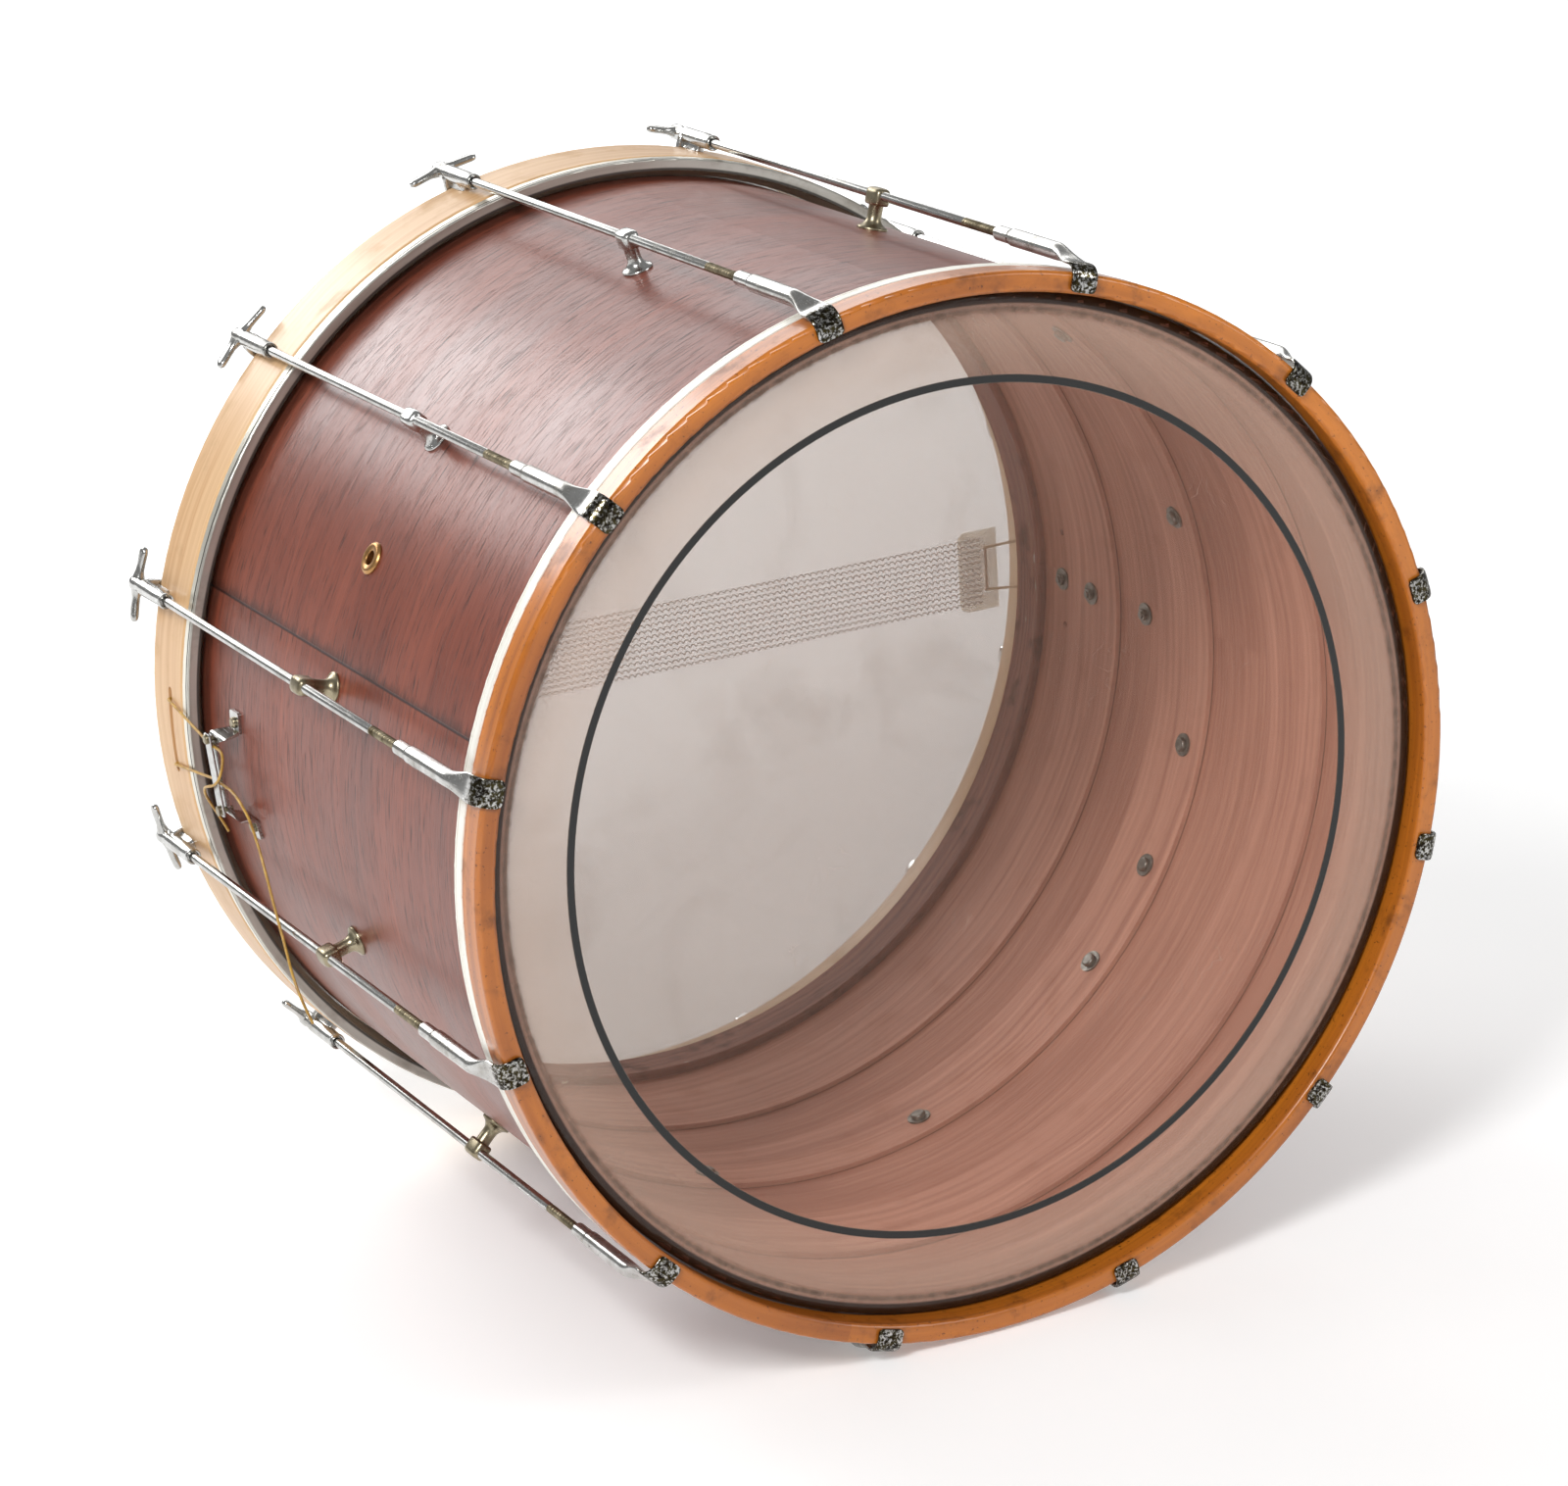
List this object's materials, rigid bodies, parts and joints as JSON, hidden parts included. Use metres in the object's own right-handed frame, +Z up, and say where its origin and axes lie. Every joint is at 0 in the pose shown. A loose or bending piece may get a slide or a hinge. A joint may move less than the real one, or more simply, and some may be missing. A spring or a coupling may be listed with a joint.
{
  "type": "bass drum",
  "caption": "Two-headed wooden marching bass drum with T-handle tension rods, wood counterhoops, clear front head and gut-hung wire snares across the rear head",
  "frame": {"origin": "On the floor, under the middle of the drum's overall box, with the drum lying on its side on two claws", "axes": "+Z up, +Y along the drum's axis from the front (clear) head to the rear (snare) head, +X to the right seen from the front"},
  "size_m": [0.6482, 0.5242, 0.6423],
  "materials": {
    "shell_wood": "clear gloss varnish over dark mahogany veneer",
    "ring_wood": "bare bent maple",
    "stained_wood": "bare wood stained by old glue",
    "front_hoop_wood": "aged amber varnish",
    "rear_hoop_wood": "clear varnish on pale maple",
    "clear_film": "clear polyester film with a hazy rim",
    "hazy_film": "translucent hazy polyester film",
    "cream_metal": "cream painted channel ring",
    "chrome": "worn and pitted chrome plate",
    "aged_nickel": "tarnished nickel plate",
    "steel": "plain steel fasteners",
    "brass": "worn brass",
    "snare_wire": "coiled steel wire",
    "cream_plastic": "translucent cream sheet",
    "gut": "yellow gut cord"
  },
  "bodies": {
    "root": {"shell": "shell_wood", "front_glue_ring": "ring_wood", "rear_glue_ring": "stained_wood", "middle_ring_1": "ring_wood", "middle_ring_2": "ring_wood", "middle_ring_3": "ring_wood", "front_hoop": "front_hoop_wood", "rear_hoop": "rear_hoop_wood", "front_head_film": "clear_film", "rear_head_film": "hazy_film", "front_flesh_hoop": "cream_metal", "rear_flesh_hoop": "cream_metal", "rear_claws": "chrome", "rod_posts": "aged_nickel", "post_screws": "steel", "shell_washers": "steel", "vent_grommet": "brass", "snare_strands": "snare_wire", "snare_plate_left": "cream_plastic", "snare_plate_right": "cream_plastic", "butt_cord": "gut", "strainer_cord": "gut", "cord_tail_short": "gut", "cord_tail_long": "gut", "butt_bracket": "aged_nickel", "butt_jaw": "chrome", "butt_jaw_screws": "steel", "butt_foot_screws": "steel", "strainer_base": "aged_nickel", "strainer_screws": "steel", "strainer_nuts": "steel"},
    "rod_01": {"tension_rod_01": "chrome"},
    "claw_01": {"front_claw_01": "chrome"},
    "rod_02": {"tension_rod_02": "chrome"},
    "claw_02": {"front_claw_02": "chrome"},
    "rod_03": {"tension_rod_03": "chrome"},
    "claw_03": {"front_claw_03": "chrome"},
    "rod_04": {"tension_rod_04": "chrome"},
    "claw_04": {"front_claw_04": "chrome"},
    "rod_05": {"tension_rod_05": "chrome"},
    "claw_05": {"front_claw_05": "chrome"},
    "rod_06": {"tension_rod_06": "chrome"},
    "claw_06": {"front_claw_06": "chrome"},
    "rod_07": {"tension_rod_07": "chrome"},
    "claw_07": {"front_claw_07": "chrome"},
    "rod_08": {"tension_rod_08": "chrome"},
    "claw_08": {"front_claw_08": "chrome"},
    "rod_09": {"tension_rod_09": "chrome"},
    "claw_09": {"front_claw_09": "chrome"},
    "rod_10": {"tension_rod_10": "chrome"},
    "claw_10": {"front_claw_10": "chrome"},
    "rod_11": {"tension_rod_11": "chrome"},
    "claw_11": {"front_claw_11": "chrome"},
    "rod_12": {"tension_rod_12": "chrome"},
    "claw_12": {"front_claw_12": "chrome"},
    "strainer_knob": {"strainer_knob": "brass"},
    "strainer_slide": {"strainer_slide": "aged_nickel", "strainer_clamp_plate": "chrome", "strainer_clamp_screws": "steel"}
  },
  "joints": [
    {"name": "rod_01_turn", "type": "hinge", "parent": "root", "child": "rod_01", "pos_m": [0.0843, 0.2406, 0.6344], "axis": [0, 1, 0], "range_deg": [0, 2160]},
    {"name": "claw_01_travel", "type": "slide", "parent": "root", "child": "claw_01", "axis": [0, -1, 0], "range_m": [0, 0.00634]},
    {"name": "rod_02_turn", "type": "hinge", "parent": "root", "child": "rod_02", "pos_m": [-0.0843, 0.2406, 0.6344], "axis": [0, 1, 0], "range_deg": [0, 2160]},
    {"name": "claw_02_travel", "type": "slide", "parent": "root", "child": "claw_02", "axis": [0, -1, 0], "range_m": [0, 0.00634]},
    {"name": "rod_03_turn", "type": "hinge", "parent": "root", "child": "rod_03", "pos_m": [-0.23031, 0.2406, 0.55011], "axis": [0, 1, 0], "range_deg": [0, 2160]},
    {"name": "claw_03_travel", "type": "slide", "parent": "root", "child": "claw_03", "axis": [0, -1, 0], "range_m": [0, 0.00634]},
    {"name": "rod_04_turn", "type": "hinge", "parent": "root", "child": "rod_04", "pos_m": [-0.3146, 0.2406, 0.4041], "axis": [0, 1, 0], "range_deg": [0, 2160]},
    {"name": "claw_04_travel", "type": "slide", "parent": "root", "child": "claw_04", "axis": [0, -1, 0], "range_m": [0, 0.00634]},
    {"name": "rod_05_turn", "type": "hinge", "parent": "root", "child": "rod_05", "pos_m": [-0.3146, 0.2406, 0.2355], "axis": [0, 1, 0], "range_deg": [0, 2160]},
    {"name": "claw_05_travel", "type": "slide", "parent": "root", "child": "claw_05", "axis": [0, -1, 0], "range_m": [0, 0.00634]},
    {"name": "rod_06_turn", "type": "hinge", "parent": "root", "child": "rod_06", "pos_m": [-0.23031, 0.2406, 0.0895], "axis": [0, 1, 0], "range_deg": [0, 2160]},
    {"name": "claw_06_travel", "type": "slide", "parent": "root", "child": "claw_06", "axis": [0, -1, 0], "range_m": [0, 0.00634]},
    {"name": "rod_07_turn", "type": "hinge", "parent": "root", "child": "rod_07", "pos_m": [-0.0843, 0.2406, 0.0052], "axis": [0, 1, 0], "range_deg": [0, 2160]},
    {"name": "claw_07_travel", "type": "slide", "parent": "root", "child": "claw_07", "axis": [0, -1, 0], "range_m": [0, 0.00634]},
    {"name": "rod_08_turn", "type": "hinge", "parent": "root", "child": "rod_08", "pos_m": [0.0843, 0.2406, 0.0052], "axis": [0, 1, 0], "range_deg": [0, 2160]},
    {"name": "claw_08_travel", "type": "slide", "parent": "root", "child": "claw_08", "axis": [0, -1, 0], "range_m": [0, 0.00634]},
    {"name": "rod_09_turn", "type": "hinge", "parent": "root", "child": "rod_09", "pos_m": [0.23031, 0.2406, 0.0895], "axis": [0, 1, 0], "range_deg": [0, 2160]},
    {"name": "claw_09_travel", "type": "slide", "parent": "root", "child": "claw_09", "axis": [0, -1, 0], "range_m": [0, 0.00634]},
    {"name": "rod_10_turn", "type": "hinge", "parent": "root", "child": "rod_10", "pos_m": [0.3146, 0.2406, 0.2355], "axis": [0, 1, 0], "range_deg": [0, 2160]},
    {"name": "claw_10_travel", "type": "slide", "parent": "root", "child": "claw_10", "axis": [0, -1, 0], "range_m": [0, 0.00634]},
    {"name": "rod_11_turn", "type": "hinge", "parent": "root", "child": "rod_11", "pos_m": [0.3146, 0.2406, 0.4041], "axis": [0, 1, 0], "range_deg": [0, 2160]},
    {"name": "claw_11_travel", "type": "slide", "parent": "root", "child": "claw_11", "axis": [0, -1, 0], "range_m": [0, 0.00634]},
    {"name": "rod_12_turn", "type": "hinge", "parent": "root", "child": "rod_12", "pos_m": [0.23031, 0.2406, 0.55011], "axis": [0, 1, 0], "range_deg": [0, 2160]},
    {"name": "claw_12_travel", "type": "slide", "parent": "root", "child": "claw_12", "axis": [0, -1, 0], "range_m": [0, 0.00634]},
    {"name": "strainer_knob_turn", "type": "hinge", "parent": "root", "child": "strainer_knob", "pos_m": [0.31435, 0.0831, 0.31432], "axis": [0, 1, 0], "range_deg": [0, 1800]},
    {"name": "strainer_slide_travel", "type": "slide", "parent": "root", "child": "strainer_slide", "axis": [0, 1, 0], "range_m": [0, 0.005]}
  ],
  "couplings": [
    {"joint": "rod_01_turn", "follows": "claw_01_travel", "rad_per_m": 5938.7},
    {"joint": "rod_02_turn", "follows": "claw_02_travel", "rad_per_m": 5938.7},
    {"joint": "rod_03_turn", "follows": "claw_03_travel", "rad_per_m": 5938.7},
    {"joint": "rod_04_turn", "follows": "claw_04_travel", "rad_per_m": 5938.7},
    {"joint": "rod_05_turn", "follows": "claw_05_travel", "rad_per_m": 5938.7},
    {"joint": "rod_06_turn", "follows": "claw_06_travel", "rad_per_m": 5938.7},
    {"joint": "rod_07_turn", "follows": "claw_07_travel", "rad_per_m": 5938.7},
    {"joint": "rod_08_turn", "follows": "claw_08_travel", "rad_per_m": 5938.7},
    {"joint": "rod_09_turn", "follows": "claw_09_travel", "rad_per_m": 5938.7},
    {"joint": "rod_10_turn", "follows": "claw_10_travel", "rad_per_m": 5938.7},
    {"joint": "rod_11_turn", "follows": "claw_11_travel", "rad_per_m": 5938.7},
    {"joint": "rod_12_turn", "follows": "claw_12_travel", "rad_per_m": 5938.7},
    {"joint": "strainer_knob_turn", "follows": "strainer_slide_travel", "rad_per_m": 6283.2}
  ]
}
